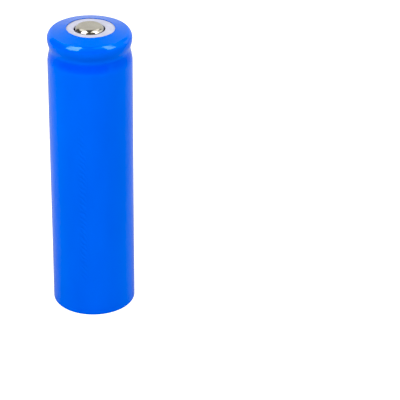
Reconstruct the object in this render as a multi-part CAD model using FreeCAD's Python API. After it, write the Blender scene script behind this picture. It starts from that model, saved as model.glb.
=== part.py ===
"""An 18650 lithium-ion cell with a raised positive button, built as its separate pieces.

The row frame is in millimetres: +Z runs along the cell's axis from the negative base to the
positive button, and the origin is the centre of the base that the cell stands on. Every piece is
a solid of its own, written to parts/NODE.step. Profiles are (radius, height, corner radius) points.
"""
import FreeCAD, Part
import math
import os
from FreeCAD import Vector

# ---- driving dimensions -------------------------------------------------------------------
BODY_R = 9.15  # over the sleeve
CAN_TOP = 65.20  # top of the crimped lip
BUTTON_TOP = 66.60
GAP = 0.03  # free space between neighbouring pieces
WELD_GAP = 0.02  # left where the real pieces are spot-welded

SLEEVE_T = 0.10
CAN_WALL = 0.25
CAN_FLOOR = 0.30
BEAD_Z = 61.2  # middle of the bead that carries the header
CORE_R = 1.85  # start of the winding
WASHER_T = 0.20

# ---- sizes that follow from them ----------------------------------------------------------
CAN_R = BODY_R - SLEEVE_T - GAP
CAN_BASE = SLEEVE_T + GAP  # underside of the can where the sleeve folds under it
TERMINAL_Z = 0.02  # the bare terminal stands proud of that, just inside the sleeve's edge
FLOOR_Z = CAN_BASE + CAN_FLOOR
CAN_INNER_R = CAN_R - CAN_WALL

# ---- can ----------------------------------------------------------------------------------
BASE_CORNER_R = 0.35  # over the sleeve
FLOOR_CORNER_R = 0.45  # inside the can
TERMINAL_R = 6.0
BEAD_BOTTOM_R = 7.65
BEAD_HALF_FLAT = 0.35
BEAD_FOOT_Z = 58.6  # where the wall starts to turn in towards the bead
RIM_R = 8.85
CRIMP_CORNER_R = 1.6
CRIMP_SHOULDER_Z = 62.9
BEAD_FOOT_CORNER_R = 1.0
BEAD_CORNER_R = 0.45
CRIMP_SHOULDER_CORNER_R = 0.4
LIP_INNER_R = 6.3

# ---- sleeve and washer --------------------------------------------------------------------
SLEEVE_TOP_EDGE_R = 5.2
SLEEVE_BASE_EDGE_R = 6.35
SLEEVE_DIP = 0.53  # how far the film sinks towards the bead
DIP_FOOT_Z = 59.1
DIP_Z = 61.65
DIP_HEAD_Z = 63.15
DIP_FOOT_CORNER_R = 5.0
DIP_CORNER_R = 3.0
DIP_HEAD_CORNER_R = 4.0
SLEEVE_RIM_R = 9.11  # widest place above the dip
SLEEVE_TURN_Z = 64.64  # where the rounding of the rim is centred
SLEEVE_TURN_CORNER_R = 1.9
SLEEVE_SHOULDER_R = 8.45  # corner between the rounding and the top
SLEEVE_SHOULDER_CORNER_R = 0.6
TOP_SLOPE_DEG = 12.0  # the film and the washer under it rise towards the middle
WASHER_OUTER_R = 8.2
WASHER_INNER_R = 3.35
WASHER_FLAT_R = 5.3  # flat inside this radius, on the slope outside it

# ---- header stack, from the vent disc up to the cap's flange --------------------------------
STACK_R = 8.1
GASKET_BORE_R = 6.45
GASKET_FOOT_R = 6.5
GASKET_EDGE_R = 0.15
GASKET_POCKET_CORNER_R = 0.1
STACK_Z = 62.9
VENT_T = 0.30
PTC_T = 0.33
PTC_INNER_R = 4.6
CAP_T = 0.50
VENT_CENTRE_R = 3.2
VENT_DISH = 0.28  # how far the disc is dished at its score line
VENT_STEP_R = (3.9, 4.4)
VENT_STEP_CORNER_R = 0.2
WELD_SPOT_CORNER_R = 0.3
WELD_SPOT_R = 0.8
WELD_CONE_R = 1.5
SCORE_GAP = 0.10  # width of the scored line round the vent disc's centre
BUTTON_R = 3.12
BUTTON_FOOT_R = 3.25
BUTTON_FOOT_CORNER_R = 0.25
BUTTON_CORNER_R = 1.0
VENT_SLOTS = 4
SLOT_WIDTH = 1.4
SLOT_REACH = 1.2  # how far a slot runs out into the flange
SLOT_RISE = 0.55  # how far it climbs the wall

PTC_Z = STACK_Z + VENT_T + GAP
FLANGE_Z = PTC_Z + PTC_T + GAP
FLANGE_TOP = FLANGE_Z + CAP_T

# ---- current interrupter ------------------------------------------------------------------
PLATE_Z = 61.92
PLATE_T = 0.35
PLATE_R = 5.65
PLATE_HOLES = 6
PLATE_HOLE_R = 0.65
PLATE_HOLE_RING_R = 3.3
INTERRUPTER_RING_R = 4.7
INTERRUPTER_RING_LIP = 0.5
INTERRUPTER_RING_EDGE_R = 0.15
INTERRUPTER_RING_BORE_EDGE_R = 0.1

# ---- winding ------------------------------------------------------------------------------
FOIL_T = 0.03
COATING_T = 0.08
SEPARATOR_T = 0.03
TURNS = 9  # of the electrodes
WRAP_END = 2 * TURNS + 1.3  # half turns at which the inner separator ends, over everything else
TAPE_HALF_TURNS = 1.0
TAPE_T = 0.05
TAPE_Z = (6.0, 54.0)
SEPARATOR_Z = (1.05, 58.6)
ANODE_Z = (1.6, 58.05)
CATHODE_Z = (2.2, 57.45)
LAYERS = (  # from the core outwards, repeated once every turn
    ("separator_inner", SEPARATOR_T),
    ("cathode_coating_inner", COATING_T),
    ("cathode_foil", FOIL_T),
    ("cathode_coating_outer", COATING_T),
    ("separator_outer", SEPARATOR_T),
    ("anode_coating_inner", COATING_T),
    ("anode_foil", FOIL_T),
    ("anode_coating_outer", COATING_T),
)
PITCH = sum(t + GAP for _, t in LAYERS)

# ---- tabs, insulators and pin ---------------------------------------------------------------
TAB_T = 0.12
TAB_W = 3.2
CATHODE_TAB_BEND_R = 0.5
ANODE_TAB_BEND_R = 0.3
TAB_RUN_Z = 60.0  # where the cathode tab crosses the can
TAB_FOLD_Y = -4.4
TAB_END_Y = 2.4
TAB_TAPE_Y = (-1.5, 3.5)
LOWER_INSULATOR_R = CAN_INNER_R - 0.25
UPPER_INSULATOR_R = 8.25
INSULATOR_T = 0.22
INSULATOR_HOLE_R = 0.8
INSULATOR_CORE_R = 1.9
INSULATOR_HOLE_RING_R = 4.6
INSULATOR_HOLES = 6
SLOT_MARGIN = 0.4  # free space round a tab where it passes an insulator
UPPER_INSULATOR_Z = 58.75
LOWER_INSULATOR_Z = 0.68
PIN_R = 1.6
PIN_WALL = 0.25
PIN_Z = (1.65, 58.1)
PIN_CHAMFER = 0.25
PIN_SLIT = 0.4

AXIS = Vector(0, 0, 1)
ORIGIN = Vector(0, 0, 0)


# ---- places worked out from the winding -----------------------------------------------------
def layer_offset(name):
    """How far out a layer starts within one turn of the winding."""
    at = 0.0
    for layer, thickness in LAYERS:
        if layer == name:
            return at
        at += thickness + GAP
    raise ValueError(name)


def tab_radius(layer, half_turn):
    """Middle radius of a layer in one half turn."""
    return CORE_R + layer_offset(layer) + dict(LAYERS)[layer] / 2 + PITCH / 2 * half_turn


CATHODE_TAB_Y = tab_radius("cathode_foil", 2 * TURNS - 2)
ANODE_TAB_Y = -tab_radius("anode_foil", 2 * TURNS - 1)


# ---- helpers ------------------------------------------------------------------------------
def unit(a, b):
    """Unit vector from a to b, as (radius, height)."""
    dr, dz = b[0] - a[0], b[1] - a[1]
    long = math.hypot(dr, dz)
    return dr / long, dz / long


def offset_profile(points, distance):
    """The profile moved to its left by distance, with its corner radii kept concentric."""
    moved = []
    for i, (r, z, corner) in enumerate(points):
        before = unit(points[i - 1], points[i]) if i else None
        after = unit(points[i], points[i + 1]) if i + 1 < len(points) else None
        before, after = before or after, after or before
        turn = before[0] * after[1] - before[1] * after[0]
        normal = (-before[1] - after[1], before[0] + after[0])
        scale = distance / (1 + before[0] * after[0] + before[1] * after[1])
        if corner:
            corner += -distance if turn > 0 else distance
        moved.append((r + normal[0] * scale, z + normal[1] * scale, corner))
    return moved


def corner_arc(before, at, after, corner):
    """The tangent points and middle of the arc that rounds one corner."""
    back, ahead = unit(at, before), unit(at, after)
    half = math.acos(max(-1.0, min(1.0, back[0] * ahead[0] + back[1] * ahead[1]))) / 2
    reach = corner / math.tan(half)
    to_centre = corner / math.sin(half)
    middle = unit((0, 0), (back[0] + ahead[0], back[1] + ahead[1]))
    start = (at[0] + back[0] * reach, at[1] + back[1] * reach)
    end = (at[0] + ahead[0] * reach, at[1] + ahead[1] * reach)
    inner = (at[0] + middle[0] * (to_centre - corner), at[1] + middle[1] * (to_centre - corner))
    return start, inner, end


def path_edges(points, place):
    """Straight and arc edges along a profile; place turns (a, b) into a Vector."""
    edges = []
    here = points[0]
    for i in range(1, len(points)):
        at = points[i]
        if i + 1 < len(points) and at[2]:
            start, inner, end = corner_arc(points[i - 1], at, points[i + 1], at[2])
            edges.append(Part.LineSegment(place(*here[:2]), place(*start)).toShape())
            edges.append(Part.Arc(place(*start), place(*inner), place(*end)).toShape())
            here = end
        else:
            edges.append(Part.LineSegment(place(*here[:2]), place(*at[:2])).toShape())
            here = at
    return edges


def section(r, z):
    """A point of a turned profile."""
    return Vector(r, 0, z)


def turned(points):
    """Solid of revolution of a closed profile about the cell's axis."""
    wire = Part.Wire(path_edges(list(points) + [points[0]], section))
    return Part.Face(wire).revolve(ORIGIN, AXIS, 360)


def turned_sheet(points, thickness):
    """Pressed or drawn sheet: a profile and the same profile moved inwards, turned together."""
    inner = offset_profile(points, thickness)
    return turned(list(points) + inner[::-1])


def ring(inner_r, outer_r, low, high):
    body = Part.makeCylinder(outer_r, high - low, Vector(0, 0, low))
    if not inner_r:
        return body
    return body.cut(Part.makeCylinder(inner_r, high - low, Vector(0, 0, low)))


def around(shape, count, first_deg=0.0):
    """Copies of a shape spaced evenly round the axis."""
    copies = []
    for i in range(count):
        copy = shape.copy()
        copy.rotate(ORIGIN, AXIS, first_deg + 360.0 * i / count)
        copies.append(copy)
    return copies


def block(x, y, z):
    """Box from three (low, high) pairs."""
    return Part.makeBox(x[1] - x[0], y[1] - y[0], z[1] - z[0], Vector(x[0], y[0], z[0]))


# ---- outside ------------------------------------------------------------------------------
def sloped(r, thickness=0.0):
    """Height, at radius r, of layers of that thickness stacked on the round shoulder of the crimp."""
    slope = math.radians(TOP_SLOPE_DEG)
    from_centre = (CRIMP_CORNER_R + GAP + thickness) / math.cos(slope)
    fall = (r - RIM_R + CRIMP_CORNER_R) * math.tan(slope)
    return CAN_TOP - CRIMP_CORNER_R + from_centre - fall


def shrink_sleeve():
    """Heat-shrunk film: folded under the base, sunk over the bead, folded over the washer."""
    cover = WASHER_T + GAP + SLEEVE_T
    outer = [
        (SLEEVE_BASE_EDGE_R, 0, 0),
        (BODY_R, 0, BASE_CORNER_R),
        (BODY_R, DIP_FOOT_Z, DIP_FOOT_CORNER_R),
        (BODY_R - SLEEVE_DIP, DIP_Z, DIP_CORNER_R),
        (SLEEVE_RIM_R, DIP_HEAD_Z, DIP_HEAD_CORNER_R),
        (SLEEVE_RIM_R, SLEEVE_TURN_Z, SLEEVE_TURN_CORNER_R),
        (SLEEVE_SHOULDER_R, sloped(SLEEVE_SHOULDER_R, cover), SLEEVE_SHOULDER_CORNER_R),
        (SLEEVE_TOP_EDGE_R, sloped(SLEEVE_TOP_EDGE_R, cover), 0),
    ]
    return turned_sheet(outer, SLEEVE_T)


def top_washer():
    """Insulating paper washer, drawn into a shallow cone by the sleeve."""
    return turned(
        [
            (WASHER_INNER_R, sloped(WASHER_FLAT_R), 0),
            (WASHER_FLAT_R, sloped(WASHER_FLAT_R), 0),
            (WASHER_OUTER_R, sloped(WASHER_OUTER_R), 0),
            (WASHER_OUTER_R, sloped(WASHER_OUTER_R, WASHER_T), 0),
            (WASHER_FLAT_R, sloped(WASHER_FLAT_R, WASHER_T), 0),
            (WASHER_INNER_R, sloped(WASHER_FLAT_R, WASHER_T), 0),
        ]
    )


def can_profile():
    """Outside of the drawn can from its base centre, over the bead, to the crimped lip."""
    return [
        (TERMINAL_R, CAN_BASE, 0),
        (CAN_R, CAN_BASE, BASE_CORNER_R - SLEEVE_T - GAP),
        (CAN_R, BEAD_FOOT_Z, BEAD_FOOT_CORNER_R),
        (BEAD_BOTTOM_R, BEAD_Z - BEAD_HALF_FLAT, BEAD_CORNER_R),
        (BEAD_BOTTOM_R, BEAD_Z + BEAD_HALF_FLAT, BEAD_CORNER_R),
        (RIM_R, CRIMP_SHOULDER_Z, CRIMP_SHOULDER_CORNER_R),
        (RIM_R, CAN_TOP, CRIMP_CORNER_R),
        (LIP_INNER_R, CAN_TOP, 0),
    ]


def steel_can():
    """Deep-drawn can: flat base with the bare terminal, bead under the header, crimped lip."""
    outer = can_profile()
    inner = offset_profile(outer, CAN_WALL)
    floor_corner = (CAN_INNER_R, FLOOR_Z, FLOOR_CORNER_R)
    step = CAN_BASE - TERMINAL_Z
    base = [(0, TERMINAL_Z, 0), (TERMINAL_R - step, TERMINAL_Z, 0)]
    return turned(base + outer + inner[:1:-1] + [floor_corner, (0, FLOOR_Z, 0)])


# ---- header ---------------------------------------------------------------------------------
def crimp_gasket():
    """Moulded ring that the crimp squeezes round the edge of the header stack."""
    shoulder = offset_profile(can_profile(), CAN_WALL + GAP)
    top = shoulder[6][1]
    slope_from, slope_to = shoulder[4], shoulder[5]
    rise = (slope_to[1] - slope_from[1]) / (slope_to[0] - slope_from[0])
    foot_r = BEAD_BOTTOM_R
    foot_z = slope_from[1] + (foot_r - slope_from[0]) * rise
    pocket_r = STACK_R + GAP
    return turned(
        [
            (GASKET_FOOT_R, foot_z, 0),
            (foot_r, foot_z, 0),
            (slope_to[0], slope_to[1], 0),
            (shoulder[6][0], top, shoulder[6][2]),
            (GASKET_BORE_R, top, GASKET_EDGE_R),
            (GASKET_BORE_R, FLANGE_TOP + GAP, GASKET_EDGE_R),
            (pocket_r, FLANGE_TOP + GAP, GASKET_POCKET_CORNER_R),
            (pocket_r, STACK_Z - GAP, GASKET_POCKET_CORNER_R),
            (GASKET_FOOT_R, STACK_Z - GAP, 0),
        ]
    )


def positive_cap():
    """Pressed steel hat with the contact button, and gas slots through the foot of its wall."""
    outer = [
        (STACK_R, FLANGE_TOP, 0),
        (BUTTON_FOOT_R, FLANGE_TOP, BUTTON_FOOT_CORNER_R),
        (BUTTON_R, BUTTON_TOP, BUTTON_CORNER_R),
        (0, BUTTON_TOP, 0),
    ]
    hat = turned_sheet(outer, CAP_T)
    slot = block(
        (BUTTON_R / 2, BUTTON_FOOT_R + SLOT_REACH),
        (-SLOT_WIDTH / 2, SLOT_WIDTH / 2),
        (FLANGE_Z, FLANGE_TOP + SLOT_RISE),
    )
    return hat.cut(Part.makeCompound(around(slot, VENT_SLOTS, 45)))


def ptc_ring():
    """Polymer ring whose resistance jumps when it gets hot."""
    return ring(PTC_INNER_R, STACK_R, PTC_Z, PTC_Z + PTC_T)


def vent_disc_rim():
    """Clamped outer part of the safety vent, with the dish that leads in to the score line."""
    inner_r = VENT_CENTRE_R + SCORE_GAP
    under = [
        (inner_r, STACK_Z - VENT_DISH, 0),
        (VENT_STEP_R[0], STACK_Z - VENT_DISH, VENT_STEP_CORNER_R),
        (VENT_STEP_R[1], STACK_Z, VENT_STEP_CORNER_R),
        (STACK_R, STACK_Z, 0),
    ]
    return turned_sheet(under, VENT_T)


def vent_disc_centre():
    """Middle of the safety vent, dished down to the weld spot on the interrupter plate."""
    spot_z = PLATE_Z + PLATE_T + WELD_GAP
    under = [
        (0, spot_z, 0),
        (WELD_SPOT_R, spot_z, WELD_SPOT_CORNER_R),
        (WELD_CONE_R, STACK_Z - VENT_DISH, WELD_SPOT_CORNER_R),
        (VENT_CENTRE_R, STACK_Z - VENT_DISH, 0),
    ]
    return turned_sheet(under, VENT_T)


def interrupter_insulator():
    """Plastic ring that holds the interrupter plate off the vent disc."""
    lip_r = PLATE_R + GAP
    outer_r = lip_r + INTERRUPTER_RING_LIP
    seat_z = PLATE_Z + PLATE_T + GAP
    return turned(
        [
            (lip_r, PLATE_Z, 0),
            (outer_r, PLATE_Z, INTERRUPTER_RING_EDGE_R),
            (outer_r, STACK_Z - GAP, INTERRUPTER_RING_EDGE_R),
            (INTERRUPTER_RING_R, STACK_Z - GAP, INTERRUPTER_RING_BORE_EDGE_R),
            (INTERRUPTER_RING_R, seat_z, INTERRUPTER_RING_BORE_EDGE_R),
            (lip_r, seat_z, 0),
        ]
    )


def interrupter_plate():
    """Perforated aluminium plate that the cathode tab and the vent disc are welded to."""
    top = PLATE_Z + PLATE_T
    plate = ring(0, PLATE_R, PLATE_Z, top)
    hole = Part.makeCylinder(PLATE_HOLE_R, PLATE_T, Vector(PLATE_HOLE_RING_R, 0, PLATE_Z))
    return plate.cut(Part.makeCompound(around(hole, PLATE_HOLES)))


# ---- winding --------------------------------------------------------------------------------
def spiral_point(offset, half_turns):
    """Point of the two-centre spiral, offset outwards, after that many half turns."""
    arc = math.floor(half_turns)
    centre_x = PITCH / 4 if arc % 2 else -PITCH / 4
    radius = CORE_R + offset + PITCH / 2 * arc
    angle = math.pi * half_turns
    return Vector(centre_x + radius * math.cos(angle), radius * math.sin(angle), 0)


def spiral_edges(offset, start, end):
    """Arcs of the spiral between two counts of half turns."""
    stops = [start, *range(math.floor(start) + 1, math.ceil(end)), end]
    edges = []
    for a, b in zip(stops[:-1], stops[1:]):
        through = (spiral_point(offset, count) for count in (a, (a + b) / 2, b))
        edges.append(Part.Arc(*through).toShape())
    return edges


def wound_strip(offset, thickness, start, end, heights):
    """Strip wound on the spiral between two counts of half turns."""
    edges = spiral_edges(offset, start, end) + spiral_edges(offset + thickness, start, end)
    for count in (start, end):
        a, b = spiral_point(offset, count), spiral_point(offset + thickness, count)
        edges.append(Part.LineSegment(a, b).toShape())
    loop = Part.Wire(Part.sortEdges(edges)[0])
    strip = Part.Face(loop).extrude(Vector(0, 0, heights[1] - heights[0]))
    strip.translate(Vector(0, 0, heights[0]))
    return strip


def winding():
    """The eight wound layers, as (first, last) half turns: the cathode is the shortest."""
    last = 2 * TURNS
    spans = {
        "separator_inner": (0.0, WRAP_END, SEPARATOR_Z),
        "separator_outer": (0.0, last + 0.2, SEPARATOR_Z),
        "anode_foil": (0.7, last - 0.1, ANODE_Z),
        "anode_coating": (0.9, last - 0.7, ANODE_Z),
        "cathode_foil": (1.1, last - 1.2, CATHODE_Z),
        "cathode_coating": (1.5, last - 1.7, CATHODE_Z),
    }
    layers = {}
    for name, thickness in LAYERS:
        start, end, heights = next(s for key, s in spans.items() if name.startswith(key))
        layers[name] = wound_strip(layer_offset(name), thickness, start, end, heights)
    return layers


def roll_tape():
    """Adhesive tape round the outside of the winding, over the end of the inner separator."""
    start = WRAP_END - TAPE_HALF_TURNS / 2
    return wound_strip(SEPARATOR_T + GAP, TAPE_T, start, start + TAPE_HALF_TURNS, TAPE_Z)


# ---- tabs and insulators --------------------------------------------------------------------
def bent_tab(path):
    """Flat tab whose middle line is a (y, z, bend radius) path in the plane x = 0."""
    low = offset_profile(path, -TAB_T / 2)
    high = offset_profile(path, TAB_T / 2)

    def place(y, z):
        return Vector(-TAB_W / 2, y, z)

    closed = low + high[::-1] + [low[0]]
    return Part.Face(Part.Wire(path_edges(closed, place))).extrude(Vector(TAB_W, 0, 0))


def tab_foot(y, heights):
    """End of a tab that is curved like the foil it is welded to, on the side where y lies."""
    r = abs(y)
    foot = ring(r - TAB_T / 2, r + TAB_T / 2, heights[0], heights[1])
    side = (0, y * 2) if y > 0 else (y * 2, 0)
    return foot.common(block((-TAB_W / 2, TAB_W / 2), side, heights))


def cathode_tab():
    """From the cathode's top edge, across the can, and back to the interrupter plate."""
    weld_z = PLATE_Z - GAP - TAB_T / 2
    bend = (weld_z - TAB_RUN_Z) / 2 - TAB_T / 10
    start_z = SEPARATOR_Z[1] + GAP
    path = [
        (CATHODE_TAB_Y, start_z, 0),
        (CATHODE_TAB_Y, TAB_RUN_Z, CATHODE_TAB_BEND_R),
        (TAB_FOLD_Y, TAB_RUN_Z, bend),
        (TAB_FOLD_Y, weld_z, bend),
        (TAB_END_Y, weld_z, 0),
    ]
    foot = tab_foot(CATHODE_TAB_Y, (CATHODE_Z[1] + GAP, start_z + 2 * TAB_T))
    return bent_tab(path).fuse(foot)


def cathode_tab_tape():
    """Insulating tape wrapped once round the tab's run over the winding."""
    inside, outside = (
        block((-w, w), TAB_TAPE_Y, (TAB_RUN_Z - t, TAB_RUN_Z + t))
        for w, t in (
            (TAB_W / 2 + GAP, TAB_T / 2 + GAP),
            (TAB_W / 2 + GAP + TAPE_T, TAB_T / 2 + GAP + TAPE_T),
        )
    )
    return outside.cut(inside)


def anode_tab():
    """From the anode's bare outer end, under the winding, to the weld on the can's floor."""
    floor_z = FLOOR_Z + WELD_GAP + TAB_T / 2
    start_z = SEPARATOR_Z[0] - GAP
    path = [
        (TAB_END_Y, floor_z, 0),
        (ANODE_TAB_Y, floor_z, ANODE_TAB_BEND_R),
        (ANODE_TAB_Y, start_z, 0),
    ]
    foot = tab_foot(ANODE_TAB_Y, (start_z - TAB_T, ANODE_Z[0] - GAP))
    return bent_tab(path).fuse(foot)


def insulator(outer_r, low, tab_y):
    """Disc with a middle hole, a ring of gas holes and a slot for the tab at tab_y."""
    disc = ring(INSULATOR_CORE_R, outer_r, low, low + INSULATOR_T)
    through = (low - INSULATOR_T, low + 2 * INSULATOR_T)
    hole = Part.makeCylinder(
        INSULATOR_HOLE_R, through[1] - through[0], Vector(INSULATOR_HOLE_RING_R, 0, through[0])
    )
    half_w = TAB_W / 2 + SLOT_MARGIN
    slot = block((-half_w, half_w), (tab_y - SLOT_MARGIN, tab_y + SLOT_MARGIN), through)
    return disc.cut(Part.makeCompound(around(hole, INSULATOR_HOLES) + [slot]))


def upper_insulator():
    return insulator(UPPER_INSULATOR_R, UPPER_INSULATOR_Z, CATHODE_TAB_Y)


def lower_insulator():
    return insulator(LOWER_INSULATOR_R, LOWER_INSULATOR_Z, ANODE_TAB_Y)


def centre_pin():
    """Rolled steel tube, slit along its length, that keeps a gas path through the core."""
    low, high = PIN_Z
    end_r = PIN_R - PIN_CHAMFER / 2
    tube = turned(
        [
            (PIN_R - PIN_WALL, low, 0),
            (end_r, low, 0),
            (PIN_R, low + PIN_CHAMFER, 0),
            (PIN_R, high - PIN_CHAMFER, 0),
            (end_r, high, 0),
            (PIN_R - PIN_WALL, high, 0),
        ]
    )
    return tube.cut(block((0, 2 * PIN_R), (-PIN_SLIT / 2, PIN_SLIT / 2), PIN_Z))


def parts():
    single = [
        shrink_sleeve,
        top_washer,
        steel_can,
        crimp_gasket,
        positive_cap,
        ptc_ring,
        vent_disc_rim,
        vent_disc_centre,
        interrupter_insulator,
        interrupter_plate,
        cathode_tab,
        cathode_tab_tape,
        anode_tab,
        upper_insulator,
        lower_insulator,
        centre_pin,
        roll_tape,
    ]
    made = {make.__name__: make() for make in single}
    made.update(winding())
    return made


def main():
    os.makedirs("parts", exist_ok=True)
    for name, shape in parts().items():
        for solid in shape.Solids:
            if not solid.isValid() or solid.Volume <= 0:
                raise ValueError(f"{name} has a bad solid")
        shape.exportStep(f"parts/{name}.step")
        print(f"{name}: {len(shape.Solids)} solid, {shape.Volume:.2f} mm3")


main()
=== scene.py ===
import math
import bmesh
import bpy
from mathutils import Euler, Matrix, Vector


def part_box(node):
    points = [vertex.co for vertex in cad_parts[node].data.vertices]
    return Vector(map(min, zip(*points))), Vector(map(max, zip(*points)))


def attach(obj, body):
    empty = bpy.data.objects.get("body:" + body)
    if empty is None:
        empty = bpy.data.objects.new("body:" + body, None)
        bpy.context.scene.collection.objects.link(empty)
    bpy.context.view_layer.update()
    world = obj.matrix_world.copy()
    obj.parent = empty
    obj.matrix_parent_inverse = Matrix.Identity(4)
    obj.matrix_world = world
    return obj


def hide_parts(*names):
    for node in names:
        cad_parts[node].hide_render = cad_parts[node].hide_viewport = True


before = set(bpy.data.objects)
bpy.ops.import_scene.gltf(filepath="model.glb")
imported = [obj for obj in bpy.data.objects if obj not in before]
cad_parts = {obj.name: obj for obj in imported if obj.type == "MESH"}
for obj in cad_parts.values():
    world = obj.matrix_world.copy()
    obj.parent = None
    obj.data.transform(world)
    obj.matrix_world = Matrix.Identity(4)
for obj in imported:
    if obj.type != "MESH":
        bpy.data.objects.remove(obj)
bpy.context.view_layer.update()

# An upright cylindrical battery cell: a shrink sleeve, a paper washer and a metal button around the
# CAD model. The row frame is metres, +Z up from the base, and the front is -Y. Lengths named here are
# millimetres, except those of the camera, the lights and the floor.
MM = 0.001

# ---- places from the frame ----------------------------------------------------------------------
BODY_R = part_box("shrink_sleeve")[1].x / MM
SLEEVE_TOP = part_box("shrink_sleeve")[1].z / MM
BUTTON_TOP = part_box("positive_cap")[1].z / MM
FLANGE_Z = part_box("positive_cap")[0].z / MM
FLANGE_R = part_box("positive_cap")[1].x / MM
WASHER_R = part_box("top_washer")[1].x / MM
WASHER_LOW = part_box("top_washer")[0].z / MM
WASHER_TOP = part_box("top_washer")[1].z / MM

# ---- sleeve -------------------------------------------------------------------------------------
FILM_T = 0.10
BASE_EDGE_R = 6.35
BASE_FLAT_R = 8.7  # the folded edge varies inside this radius
BASE_CORNER = 0.35
DIP_FOOT_Z = 59.1
DIP_FOOT_FILLET = 5.0
DIP_Z = 61.65
DIP_DEPTH = 0.53
DIP_FILLET = 3.0
DIP_HEAD_Z = 63.15
DIP_HEAD_FILLET = 4.0
RIM_R = 9.11
RIM_TURN_Z = 64.64
RIM_FILLET = 1.9
SHOULDER_R = 8.45
SHOULDER_FILLET = 0.6
TOP_FLAT_R = 8.1  # where the rim's rounding ends and the film lies straight on the washer
TOP_EDGE_R = 5.20
TOP_SLOPE = math.radians(12.0)

# How the film departs from a body of revolution: (count, size, phase) waves round the axis.
OPENING_SHIFT = 0.24  # the sleeve has shrunk a little to one side, so its top opening is off centre
TOP_EDGE_WAVES = ((2, 0.035, 1.1), (3, 0.028, 0.2), (5, 0.018, 2.4), (9, 0.010, 4.0))
TOP_EDGE_LIFT = 0.024
PUCKER_WAVES = ((11, 0.010, 0.7), (17, 0.008, 2.9), (23, 0.006, 1.6))
BASE_EDGE_WAVES = ((2, 0.10, 2.0), (5, 0.06, 0.4), (9, 0.05, 3.1), (16, 0.03, 1.2))
DIP_WAVES = ((2, 0.022, 0.8), (3, 0.016, 2.2), (7, 0.008, 5.1))
DIP_SPREAD = 1.2  # height over which the dip's waves fade out

# ---- washer and button --------------------------------------------------------------------------
WASHER_HOLE_R = 3.35
WASHER_FLAT_R = 5.3
WASHER_T = 0.20
WASHER_EDGE = 0.05
WASHER_BEND = 0.5
WASHER_SAG = 0.02
WASHER_WAVES = ((2, 0.012, 0.9), (3, 0.008, 2.6))
CAP_T = 0.50
BUTTON_R = 3.12
BUTTON_CORNER = 1.0
BUTTON_FOOT_R = 3.25
BUTTON_FOOT_FILLET = 0.25
SLOTS = 4
SLOT_TURN_DEG = 45
SLOT_WIDTH = 1.4
SLOT_REACH = 1.2
SLOT_RISE = 0.55
SLOT_BELOW = 0.2

# Mesh density of each turned piece: degrees in an arc step, longest straight step, steps round.
SLEEVE_MESH = (4, 0.6, 256)
WASHER_MESH = (20, 0.4, 192)
BUTTON_MESH = (5, 0.8, 192)
SHARP_DEG = 35

# ---- painted shade and wrinkles of the film: each pair is where a change starts and where it is complete --
# Painted shade: the film's top, inward of the first pair's radii and above the second pair's heights, is
# toned a darker, duller blue.
TOP_SHADE_R = (7.9, 8.7)
TOP_SHADE_Z = (64, 65)
# Painted shade: a deeper blue band over the lower slope of the groove, fading in over the first pair of
# heights and out over the second.
GROOVE_SHADE_FOOT_Z = (58.9, 60.2)
GROOVE_SHADE_HEAD_Z = (61.2, 61.6)
SEAM_TURN = 0.18  # radians from the front to the left
SEAM_HALF_WIDTH = (0.02, 0.11)  # radians
SEAM_FOOT_Z = (6, 14)
SEAM_HEAD_Z = (36, 52)
SEAM_DEPTH = 0.06

# ---- camera, floor and lights: metres, and parts of a direction for the *_EDGE pairs --------------
CAMERA_AT = (0.02385, -0.38424, 0.23504)
CAMERA_PITCH_DEG = 28.695  # below the horizon
CAMERA_ROLL_DEG = 0.647
CAMERA_LENS = 177.52
SENSOR = 36.0
CAMERA_CLIP = (0.01, 20)
FLOOR_SIZE = 1.2
FLOOR_GLOW = (0.05, 0.85)  # what the floor adds for reflections, and for the camera
SOFTBOX_REACH = 0.40  # upright panels, this far from the cell's axis
SOFTBOX_BOTTOM = 0.15
SOFTBOX_HEIGHT = 0.75
SOFTBOXES = (  # name, degrees from the front to the right, degrees wide seen from the cell, radiance
    ("softbox_left", -44.4, 37.0, 6.4),
    ("softbox_right", 62.0, 25.0, 5.0),
)
AMBIENT = 0.19
BACKDROP = 0.85
BACKDROP_EDGE = (0.50, 0.62)  # along +Y
SIDE_WALL = 1.2
SIDE_WALL_EDGE = (0.72, 0.85)  # along +X
CEILING = 1.45
CEILING_EDGE = (0.60, 0.75)  # along +Z
CEILING_STRIP = (0.12, 0.26)  # along X, either way: a dark strip in the middle of the ceiling
WHITE_SEEN = 1.2  # what the camera sees in place of the surroundings
BLACK_LEVEL = 0.045
WHITE_LEVEL = 0.97

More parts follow.
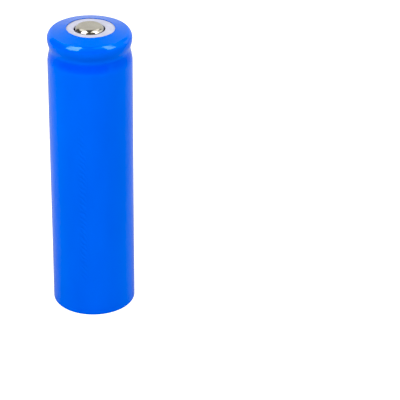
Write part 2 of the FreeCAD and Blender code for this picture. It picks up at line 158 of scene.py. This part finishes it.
# ---- darkest and lightest colour of each material -------------------------------------------------
ALUMINIUM = ((0.70, 0.71, 0.72), (0.84, 0.85, 0.86))
SHADES = {
    "washer_paper": ((0.41, 0.415, 0.50), (0.48, 0.485, 0.565)),
    "cap_nickel": ((0.51, 0.48, 0.41), (0.56, 0.54, 0.46)),
    "can_plate": ((0.50, 0.48, 0.44), (0.62, 0.60, 0.56)),
    "tab_nickel": ((0.52, 0.49, 0.43), (0.62, 0.59, 0.53)),
    "pin_steel": ((0.42, 0.43, 0.44), (0.55, 0.56, 0.57)),
    "cathode_aluminium": ALUMINIUM,
    "header_aluminium": ALUMINIUM,
    "copper_foil": ((0.62, 0.27, 0.15), (0.78, 0.40, 0.24)),
    "oxide_coating": ((0.010, 0.010, 0.012), (0.030, 0.030, 0.034)),
    "graphite_coating": ((0.006, 0.006, 0.007), (0.022, 0.022, 0.024)),
    "separator_film": ((0.84, 0.84, 0.82), (0.92, 0.92, 0.90)),
    "amber_tape": ((0.50, 0.20, 0.02), (0.62, 0.28, 0.04)),
    "insulator_fibre": ((0.55, 0.62, 0.52), (0.68, 0.74, 0.64)),
    "gasket_plastic": ((0.70, 0.72, 0.70), (0.82, 0.83, 0.81)),
    "interrupter_plastic": ((0.56, 0.52, 0.38), (0.68, 0.64, 0.50)),
    "ptc_compound": ((0.03, 0.03, 0.033), (0.07, 0.07, 0.073)),
    "floor_white": ((0.42, 0.42, 0.42), (0.44, 0.44, 0.44)),
}
FILM_BLUES = ((0.0003, 0.112, 0.77), (0.0004, 0.119, 0.80), (0.0005, 0.126, 0.83))
# Painted shade: the darker, duller blue laid on the film's upward-facing top.
FILM_TOP_SHADE = (0.0006, 0.103, 0.60)
# Painted shade: the deeper blue laid in the groove of the can's bead.
FILM_GROOVE_SHADE = (0.0003, 0.091, 0.74)
FILM_GLOSS_TINT = (0.55, 0.95, 1.0, 1.0)
FLOOR_GLOW_SHADES = ((0.98, 0.98, 0.98), (1.0, 1.0, 1.0))


# ---- mesh helpers -------------------------------------------------------------------------------
def rounded(points, arc_deg, longest):
    """Dense (radius, height) points along straight runs, with each (r, z, fillet) corner rounded."""
    path = [Vector(points[0][:2])]

    def run_to(end):
        start = path[-1].copy()
        steps = max(1, math.ceil((end - start).length / longest))
        path.extend(start.lerp(end, i / steps) for i in range(1, steps + 1))

    for i in range(1, len(points) - 1):
        at, fillet = Vector(points[i][:2]), points[i][2]
        back = (Vector(points[i - 1][:2]) - at).normalized()
        ahead = (Vector(points[i + 1][:2]) - at).normalized()
        half = back.angle(ahead) / 2
        reach = fillet / math.tan(half)
        centre = at + (back + ahead).normalized() * (fillet / math.sin(half))
        run_to(at + back * reach)
        spoke = path[-1] - centre
        turn = (math.pi - 2 * half) * (1 if back.cross(ahead) < 0 else -1)
        steps = math.ceil(abs(turn) / math.radians(arc_deg))
        for k in range(1, steps + 1):
            path.append(centre + Matrix.Rotation(turn * k / steps, 2) @ spoke)
    run_to(Vector(points[-1][:2]))
    return path


def sheet_loop(path, thickness):
    """Closed outline of a sheet: the path, and the path moved to its left by the thickness."""
    moved = []
    for i, at in enumerate(path):
        along = path[min(i + 1, len(path) - 1)] - path[max(i - 1, 0)]
        moved.append(at + Vector((-along.y, along.x)).normalized() * thickness)
    return path + moved[::-1]


def new_piece(name, mesh):
    """Object in the scene from a bmesh, which it uses up."""
    data = bpy.data.meshes.new(name)
    mesh.to_mesh(data)
    mesh.free()
    piece = bpy.data.objects.new(name, data)
    bpy.context.scene.collection.objects.link(piece)
    return piece


def turned(name, loop, segments, place=None):
    """Closed solid of revolution. place(r, z, angle) may move a point, and gives (r, z)."""
    mesh = bmesh.new()
    rings = []
    for i in range(segments):
        angle = 2 * math.pi * i / segments
        ring = []
        for r, z in loop:
            at_r, at_z = place(r, z, angle) if place else (r, z)
            co = Vector((at_r * math.cos(angle), at_r * math.sin(angle), at_z)) * MM
            ring.append(mesh.verts.new(co))
        rings.append(ring)
    for ring, following in zip(rings, rings[1:] + rings[:1]):
        for j in range(len(loop)):
            k = (j + 1) % len(loop)
            mesh.faces.new((ring[j], following[j], following[k], ring[k]))
    bmesh.ops.remove_doubles(mesh, verts=mesh.verts, dist=1e-8)
    bmesh.ops.recalc_face_normals(mesh, faces=mesh.faces)
    piece = new_piece(name, mesh)
    smooth(piece.data)
    return piece


def smooth(data):
    data.polygons.foreach_set("use_smooth", [True] * len(data.polygons))
    data.set_sharp_from_angle(angle=math.radians(SHARP_DEG))


def cut(piece, cutters):
    """Takes the cutters' solids out of the piece, and removes the cutters."""
    for cutter in cutters:
        step = piece.modifiers.new("cut", "BOOLEAN")
        step.operation = "DIFFERENCE"
        step.solver = "EXACT"
        step.object = cutter
    done = bpy.data.meshes.new_from_object(piece.evaluated_get(bpy.context.evaluated_depsgraph_get()))
    piece.modifiers.clear()
    piece.data = done
    done.name = piece.name
    for cutter in cutters:
        bpy.data.objects.remove(cutter)
    smooth(done)


def ripple(angle, waves):
    """Sum of cosines round the axis, from (count, size, phase) triples."""
    return sum(size * math.cos(count * angle + phase) for count, size, phase in waves)


# ---- pieces -------------------------------------------------------------------------------------
def film_place(r, z, angle):
    """How the shrunk film departs from a perfect body of revolution."""
    if z > DIP_HEAD_Z and r < TOP_FLAT_R:
        share = (TOP_FLAT_R - r) / (TOP_FLAT_R - TOP_EDGE_R)
        drift = OPENING_SHIFT * math.cos(angle) + ripple(angle, TOP_EDGE_WAVES)
        lift = share**2 * (TOP_EDGE_LIFT + ripple(angle, PUCKER_WAVES))
        return r + share * drift, z - share * drift * math.tan(TOP_SLOPE) + lift
    if z < FILM_T * 1.01 and r < BASE_FLAT_R:
        share = (BASE_FLAT_R - r) / (BASE_FLAT_R - BASE_EDGE_R)
        return r + share * ripple(angle, BASE_EDGE_WAVES), z
    nearness = math.exp(-(((z - DIP_Z) / DIP_SPREAD) ** 2))
    return min(BODY_R, r + nearness * ripple(angle, DIP_WAVES)), z


def make_sleeve():
    shoulder_z = SLEEVE_TOP - (SHOULDER_R - TOP_EDGE_R) * math.tan(TOP_SLOPE)
    outer = [
        (BASE_EDGE_R, 0),
        (BODY_R, 0, BASE_CORNER),
        (BODY_R, DIP_FOOT_Z, DIP_FOOT_FILLET),
        (BODY_R - DIP_DEPTH, DIP_Z, DIP_FILLET),
        (RIM_R, DIP_HEAD_Z, DIP_HEAD_FILLET),
        (RIM_R, RIM_TURN_Z, RIM_FILLET),
        (SHOULDER_R, shoulder_z, SHOULDER_FILLET),
        (TOP_EDGE_R, SLEEVE_TOP),
    ]
    *steps, segments = SLEEVE_MESH
    return turned("sleeve_film", sheet_loop(rounded(outer, *steps), FILM_T), segments, film_place)


def make_washer():
    """Paper washer with its stamped edges just broken, a little wavy where nothing holds it down."""
    rise = math.tan(TOP_SLOPE)
    thick = WASHER_T / math.cos(TOP_SLOPE)
    seam = (WASHER_R - 1.0, WASHER_LOW + rise)  # the outline starts and ends on the underside
    outline = [
        seam,
        (WASHER_R, WASHER_LOW, WASHER_EDGE),
        (WASHER_R, WASHER_LOW + thick, WASHER_EDGE),
        (WASHER_FLAT_R, WASHER_TOP, WASHER_BEND),
        (WASHER_HOLE_R, WASHER_TOP, WASHER_EDGE),
        (WASHER_HOLE_R, WASHER_TOP - thick, WASHER_EDGE),
        (WASHER_FLAT_R, WASHER_TOP - thick, WASHER_BEND),
        seam,
    ]

    def place(r, z, angle):
        free = max(0.0, (TOP_EDGE_R - r) / (TOP_EDGE_R - WASHER_HOLE_R))
        return r, z - free**2 * (WASHER_SAG + ripple(angle, WASHER_WAVES))

    *steps, segments = WASHER_MESH
    return turned("paper_washer", rounded(outline, *steps)[:-1], segments, place)


def make_button():
    """Pressed cap: button, wall, flange, and the gas slots through the foot of the wall."""
    flange_top = FLANGE_Z + CAP_T
    outer = [
        (FLANGE_R, flange_top),
        (BUTTON_FOOT_R, flange_top, BUTTON_FOOT_FILLET),
        (BUTTON_R, BUTTON_TOP, BUTTON_CORNER),
        (0, BUTTON_TOP),
    ]
    *steps, segments = BUTTON_MESH
    cap = turned("button_cap", sheet_loop(rounded(outer, *steps), CAP_T), segments)
    low = Vector((BUTTON_R / 2, -SLOT_WIDTH / 2, FLANGE_Z - SLOT_BELOW))
    high = Vector((BUTTON_FOOT_R + SLOT_REACH, SLOT_WIDTH / 2, flange_top + SLOT_RISE))
    cut(cap, [slot_cutter(low, high, SLOT_TURN_DEG + 360 * i / SLOTS) for i in range(SLOTS)])
    return cap


def slot_cutter(low, high, turn_deg):
    """Block between two corners, turned about the cell's axis."""
    mesh = bmesh.new()
    bmesh.ops.create_cube(mesh, size=1)
    span, middle = (high - low) * MM, (high + low) / 2 * MM
    stretch = Matrix.Translation(middle) @ Matrix.Diagonal((*span, 1))
    bmesh.ops.transform(mesh, matrix=stretch, verts=mesh.verts)
    bmesh.ops.rotate(mesh, matrix=Matrix.Rotation(math.radians(turn_deg), 3, "Z"), verts=mesh.verts)
    return new_piece("slot_cutter", mesh)


# ---- material helpers ---------------------------------------------------------------------------
def add_node(tree, kind, inputs=(), **settings):
    """New node with its settings; each input gets a value, or a link from a socket."""
    node = tree.nodes.new(kind)
    for key, value in settings.items():
        setattr(node, key, value)
    for socket, value in dict(inputs).items():
        if isinstance(value, bpy.types.NodeSocket):
            tree.links.new(value, node.inputs[socket])
        else:
            node.inputs[socket].default_value = value
    return node


class Finish:
    """A node material around one Principled shader, patterned in object space in millimetres."""

    def __init__(self, name, **sockets):
        self.material = bpy.data.materials.new(name)
        self.material.use_nodes = True
        self.tree = self.material.node_tree
        self.shader = self.tree.nodes["Principled BSDF"]
        for socket, value in sockets.items():
            self.shader.inputs[socket.replace("_", " ")].default_value = value
        self.coordinates = self.add("ShaderNodeTexCoord").outputs["Object"]

    def add(self, kind, inputs=(), **settings):
        return add_node(self.tree, kind, inputs, **settings)

    def to_shader(self, socket, source):
        self.tree.links.new(source, self.shader.inputs[socket])

    def stretched(self, per_mm=(1, 1, 1)):
        """Object coordinates scaled to this many pattern units per millimetre along X, Y and Z."""
        scale = tuple(v / MM for v in per_mm)
        return self.add("ShaderNodeMapping", {"Vector": self.coordinates, "Scale": scale}).outputs["Vector"]

    def noise(self, per_mm, detail=3.0, distortion=0.0):
        vector = self.stretched(per_mm)
        inputs = {"Vector": vector, "Scale": 1.0, "Detail": detail, "Distortion": distortion}
        return self.add("ShaderNodeTexNoise", inputs).outputs["Fac"]

    def wave(self, scale, distortion, detail_scale, **settings):
        inputs = {"Vector": self.stretched(), "Scale": scale, "Distortion": distortion}
        inputs |= {"Detail": 2.0, "Detail Scale": detail_scale}
        return self.add("ShaderNodeTexWave", inputs, **settings).outputs["Fac"]

    def ranged(self, source, low, high, from_low=0.3, from_high=0.7):
        """From low to high as the source goes from one value to the other, and level outside them."""
        inputs = {"Value": source, "From Min": from_low, "From Max": from_high, "To Min": low, "To Max": high}
        return self.add("ShaderNodeMapRange", inputs).outputs["Result"]

    def ramp(self, source, colours, ends=(0.3, 0.7)):
        """Colours evenly spaced between the ends, which are two values of the source."""
        node = self.add("ShaderNodeValToRGB", {"Fac": source})
        elements = node.color_ramp.elements
        for element, at, colour in zip(elements, ends, (colours[0], colours[-1])):
            element.position = at
            element.color = (*colour, 1)
        for i, colour in enumerate(colours[1:-1], 1):
            at = ends[0] + (ends[1] - ends[0]) * i / (len(colours) - 1)
            elements.new(at).color = (*colour, 1)
        return node.outputs["Color"]

    def blend(self, share, first, second):
        inputs = {0: share, 6: first, 7: (*second, 1)}
        return self.add("ShaderNodeMix", inputs, data_type="RGBA").outputs[2]

    def bump(self, height, depth_mm, strength=1.0, under=None):
        inputs = {"Height": height, "Distance": depth_mm * MM, "Strength": strength}
        if under is not None:
            inputs["Normal"] = under
        return self.add("ShaderNodeBump", inputs).outputs["Normal"]

    def math(self, operation, a, b=0.0):
        return self.add("ShaderNodeMath", {0: a, 1: b}, operation=operation).outputs["Value"]


# ---- materials ----------------------------------------------------------------------------------
def grained(name, per_mm, rough, depth_mm, detail=3.0, **sockets):
    """Material with one noise grain that varies its colour, roughness and height."""
    finish = Finish(name, **sockets)
    grain = finish.noise(per_mm, detail)
    finish.to_shader("Base Color", finish.ramp(grain, SHADES[name]))
    finish.to_shader("Roughness", finish.ranged(grain, *rough))
    finish.to_shader("Normal", finish.bump(grain, depth_mm))
    return finish.material


def film_blue():
    """Glossy shrink film: draw lines along the tube, and a finely wrinkled seam in front.

    It is toned a duller, darker blue on its top over the washer, and a deeper blue in the groove of the can's
    bead: both are painted shade.
    """
    finish = Finish("film_blue", IOR=1.55, Specular_Tint=FILM_GLOSS_TINT)
    x, y, z = finish.add("ShaderNodeSeparateXYZ", {"Vector": finish.stretched()}).outputs
    cloud = finish.noise((0.10, 0.10, 0.04), 2.0)
    blue = finish.ramp(cloud, FILM_BLUES, (0.25, 0.75))
    r_squared = finish.math("ADD", finish.math("MULTIPLY", x, x), finish.math("MULTIPLY", y, y))
    # Painted shade: the film's top annulus is toned a darker, duller blue.
    inside = finish.ranged(r_squared, 1, 0, *(r**2 for r in TOP_SHADE_R))
    top_shade = finish.math("MULTIPLY", inside, finish.ranged(z, 0, 1, *TOP_SHADE_Z))
    # Painted shade: a deeper blue band on the lower slope of the groove.
    groove_shade = finish.math(
        "MULTIPLY", finish.ranged(z, 0, 1, *GROOVE_SHADE_FOOT_Z), finish.ranged(z, 1, 0, *GROOVE_SHADE_HEAD_Z)
    )
    blue_with_painted_shade = finish.blend(groove_shade, finish.blend(top_shade, blue, FILM_TOP_SHADE), FILM_GROOVE_SHADE)
    finish.to_shader("Base Color", blue_with_painted_shade)

    lines = finish.noise((2.2, 2.2, 0.05), 2.0)
    finish.to_shader("Roughness", finish.ranged(lines, 0.12, 0.18))
    soft = finish.bump(finish.noise((0.22, 0.22, 0.06), 1.0), 0.03, 0.5)
    drawn = finish.bump(lines, 0.002, 0.5, soft)

    turn = finish.math("ARCTAN2", x, finish.math("MULTIPLY", y, -1))
    off_seam = finish.math("ABSOLUTE", finish.math("ADD", turn, SEAM_TURN))
    seam = finish.ranged(off_seam, 1, 0, *SEAM_HALF_WIDTH)
    seam = finish.math("MULTIPLY", seam, finish.ranged(z, 0, 1, *SEAM_FOOT_Z))
    seam = finish.math("MULTIPLY", seam, finish.ranged(z, 1, 0, *SEAM_HEAD_Z))
    folds = finish.wave(0.5, 4.0, 1.5, wave_type="BANDS", bands_direction="DIAGONAL")
    seamed = finish.bump(finish.math("MULTIPLY", folds, seam), SEAM_DEPTH, 1.0, drawn)
    peel = finish.noise((1.3, 1.3, 0.7), 2.0)
    finish.to_shader("Normal", finish.bump(peel, 0.002, 0.6, seamed))
    return finish.material


def washer_paper():
    """Pale fibre paper: short crossed fibres and a faint mottle."""
    finish = Finish("washer_paper", IOR=1.45, Specular_IOR_Level=0.25)
    along = finish.noise((9.0, 1.6, 4.0), 4.0, distortion=1.2)
    across = finish.noise((1.6, 9.0, 4.0), 4.0, distortion=1.2)
    fibres = finish.math("MAXIMUM", along, across)
    mottle = finish.noise((0.8, 0.8, 0.8), 3.0)
    tone = finish.math("ADD", finish.ranged(fibres, 0.0, 0.5, 0.4, 0.75), finish.ranged(mottle, 0.0, 0.5))
    finish.to_shader("Base Color", finish.ramp(tone, SHADES["washer_paper"], (0.2, 0.8)))
    finish.to_shader("Roughness", finish.ranged(mottle, 0.75, 0.9))
    finish.to_shader("Normal", finish.bump(fibres, 0.02, 0.6))
    return finish.material


def nickel_plate(name, rough):
    """Nickel plating over pressed steel: fine random scratches and a soft cloud in the colour."""
    finish = Finish(name, Metallic=1.0, IOR=1.8)
    cloud = finish.noise((0.5, 0.5, 0.5), 3.0)
    finish.to_shader("Base Color", finish.ramp(cloud, SHADES[name]))
    fine_x = finish.noise((14.0, 0.9, 2.0), 3.0, distortion=0.4)
    fine_y = finish.noise((1.1, 13.0, 2.0), 3.0, distortion=0.5)
    marks = finish.math("MAXIMUM", fine_x, fine_y)
    finish.to_shader("Roughness", finish.ranged(marks, *rough))
    finish.to_shader("Normal", finish.bump(marks, 0.0015, 0.5))
    return finish.material


def can_plate():
    """Nickel-plated can: rings from deep drawing on the base, specks everywhere."""
    finish = Finish("can_plate", Metallic=1.0, IOR=1.8)
    cloud = finish.noise((0.35, 0.35, 0.35), 3.0)
    finish.to_shader("Base Color", finish.ramp(cloud, SHADES["can_plate"]))
    rings = finish.wave(1.1, 1.5, 0.6, wave_type="RINGS", rings_direction="Z")
    specks = finish.noise((5.0, 5.0, 1.2), 4.0)
    finish.to_shader("Roughness", finish.ranged(specks, 0.24, 0.38))
    finish.to_shader("Normal", finish.bump(specks, 0.003, 0.4, finish.bump(rings, 0.003, 0.35)))
    return finish.material


def paint_nodes():
    """Gives every CAD node that stays visible its finish."""
    rolled = ((5.0, 5.0, 0.4), (0.26, 0.40), 0.002)
    moulded = ((3.0, 3.0, 3.0), (0.38, 0.52), 0.004)
    for material, nodes in (
        (can_plate(), "steel_can"),
        (grained("gasket_plastic", *moulded), "crimp_gasket"),
        (grained("ptc_compound", (8.0, 8.0, 8.0), (0.5, 0.7), 0.006, 4.0), "ptc_ring"),
        (
            grained("header_aluminium", *rolled, Metallic=1.0),
            "vent_disc_rim vent_disc_centre interrupter_plate",
        ),
        (grained("interrupter_plastic", *moulded), "interrupter_insulator"),
        (
            grained("insulator_fibre", (7.0, 7.0, 7.0), (0.70, 0.85), 0.01, 5.0),
            "upper_insulator lower_insulator",
        ),
        (grained("cathode_aluminium", *rolled, Metallic=1.0), "cathode_foil cathode_tab"),
        (grained("copper_foil", (4.0, 4.0, 0.3), (0.28, 0.42), 0.002, Metallic=1.0), "anode_foil"),
        (nickel_plate("tab_nickel", (0.22, 0.34)), "anode_tab"),
        (
            grained("oxide_coating", (9.0, 9.0, 9.0), (0.62, 0.80), 0.01, 5.0),
            "cathode_coating_inner cathode_coating_outer",
        ),
        (
            grained("graphite_coating", (6.0, 6.0, 6.0), (0.48, 0.70), 0.008, 5.0),
            "anode_coating_inner anode_coating_outer",
        ),
        (
            grained("separator_film", (1.5, 1.5, 0.4), (0.35, 0.50), 0.003, Specular_IOR_Level=0.4),
            "separator_inner separator_outer",
        ),
        (
            grained("amber_tape", (0.8, 0.8, 0.8), (0.16, 0.26), 0.004, Coat_Weight=0.3),
            "roll_tape cathode_tab_tape",
        ),
        (nickel_plate("pin_steel", (0.25, 0.40)), "centre_pin"),
    ):
        for node in nodes.split():
            dress(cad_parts[node], material)


def dress(piece, material):
    piece.data.materials.clear()
    piece.data.materials.append(material)


# ---- stage --------------------------------------------------------------------------------------
def make_camera():
    data = bpy.data.cameras.new("camera")
    data.lens = CAMERA_LENS
    data.sensor_width = SENSOR
    data.clip_start, data.clip_end = CAMERA_CLIP
    camera = bpy.data.objects.new("camera", data)
    bpy.context.scene.collection.objects.link(camera)
    tilt = Euler((math.radians(90 - CAMERA_PITCH_DEG), 0, 0)).to_matrix()
    roll = Matrix.Rotation(math.radians(CAMERA_ROLL_DEG), 3, "Z")
    camera.matrix_world = Matrix.Translation(CAMERA_AT) @ (tilt @ roll).to_4x4()
    bpy.context.scene.camera = camera


def make_floor():
    """White floor, which burns out to plain white for the camera but throws less light on the cell."""
    bpy.ops.mesh.primitive_plane_add(size=FLOOR_SIZE)
    floor = bpy.context.object
    floor.name = "floor"
    finish = Finish("floor_white", Roughness=0.9, IOR=1.45)
    cloud = finish.noise((0.02, 0.02, 0.02), 2.0)
    finish.to_shader("Base Color", finish.ramp(cloud, SHADES["floor_white"]))
    finish.to_shader("Emission Color", finish.ramp(cloud, FLOOR_GLOW_SHADES))
    seen = finish.add("ShaderNodeLightPath").outputs["Is Camera Ray"]
    finish.to_shader("Emission Strength", finish.ranged(seen, *FLOOR_GLOW, 0, 1))
    dress(floor, finish.material)


def softbox(name, azimuth, spread, radiance):
    """Upright flat light facing the cell; azimuth in degrees from the front (-Y) to the right."""
    width = 2 * SOFTBOX_REACH * math.tan(math.radians(spread / 2))
    light = bpy.data.lights.new(name, "AREA")
    light.shape = "RECTANGLE"
    light.size, light.size_y = width, SOFTBOX_HEIGHT
    light.energy = radiance * math.pi * width * SOFTBOX_HEIGHT
    turn = math.radians(azimuth)
    outward = Vector((math.sin(turn), -math.cos(turn), 0))
    lamp = bpy.data.objects.new(name, light)
    lamp.location = outward * SOFTBOX_REACH + Vector((0, 0, SOFTBOX_BOTTOM + SOFTBOX_HEIGHT / 2))
    lamp.rotation_euler = outward.to_track_quat("Z", "Y").to_euler()
    bpy.context.scene.collection.objects.link(lamp)


def make_world():
    """Rest of the white studio: a backdrop behind, a wall on the right and a ceiling with a dark strip."""
    world = bpy.data.worlds.new("studio")
    bpy.context.scene.world = world
    world.use_nodes = True
    tree = world.node_tree

    def add(kind, inputs=(), **settings):
        return add_node(tree, kind, inputs, **settings).outputs[0]

    def step(value, start, end, low, high):
        inputs = {"Value": value, "From Min": start, "From Max": end, "To Min": low, "To Max": high}
        return add("ShaderNodeMapRange", inputs, interpolation_type="SMOOTHSTEP")

    def brighter(first, second):
        return add("ShaderNodeMath", {0: first, 1: second}, operation="MAXIMUM")

    direction = add_node(tree, "ShaderNodeTexCoord").outputs["Generated"]
    x, y, z = add_node(tree, "ShaderNodeSeparateXYZ", {"Vector": direction}).outputs
    behind = step(y, *BACKDROP_EDGE, AMBIENT, BACKDROP)
    right = step(x, *SIDE_WALL_EDGE, 0.0, SIDE_WALL)
    ceiling = step(z, *CEILING_EDGE, 0.0, CEILING)
    off_strip = step(add("ShaderNodeMath", {0: x}, operation="ABSOLUTE"), *CEILING_STRIP, 0.0, 1.0)
    panels = add("ShaderNodeMath", {0: ceiling, 1: off_strip}, operation="MULTIPLY")
    light = brighter(brighter(behind, right), panels)
    lit, seen = (
        add("ShaderNodeBackground", {"Strength": strength, "Color": (1, 1, 1, 1)})
        for strength in (light, WHITE_SEEN)
    )
    camera_ray = add_node(tree, "ShaderNodeLightPath").outputs["Is Camera Ray"]
    shown = add("ShaderNodeMixShader", {0: camera_ray, 1: lit, 2: seen})
    tree.links.new(shown, tree.nodes["World Output"].inputs["Surface"])


def set_tones():
    """Contrasty product-photo tones: the lightest greys run to white, the darkest to black."""
    settings = bpy.context.scene.view_settings
    settings.view_transform = "Standard"
    settings.use_curve_mapping = True
    settings.curve_mapping.black_level = (BLACK_LEVEL,) * 3
    settings.curve_mapping.white_level = (WHITE_LEVEL,) * 3
    settings.curve_mapping.update()


# ---- assembly -----------------------------------------------------------------------------------
def main():
    for piece, node, slot, material in (
        (make_sleeve(), "shrink_sleeve", "sleeve_film", film_blue()),
        (make_washer(), "top_washer", "washer_paper", washer_paper()),
        (make_button(), "positive_cap", "cap_nickel_plate", nickel_plate("cap_nickel", (0.09, 0.15))),
    ):
        dress(piece, material)
        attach(piece, "cell")
        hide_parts(node)
    paint_nodes()
    make_camera()
    make_floor()
    make_world()
    for row in SOFTBOXES:
        softbox(*row)
    set_tones()


main()
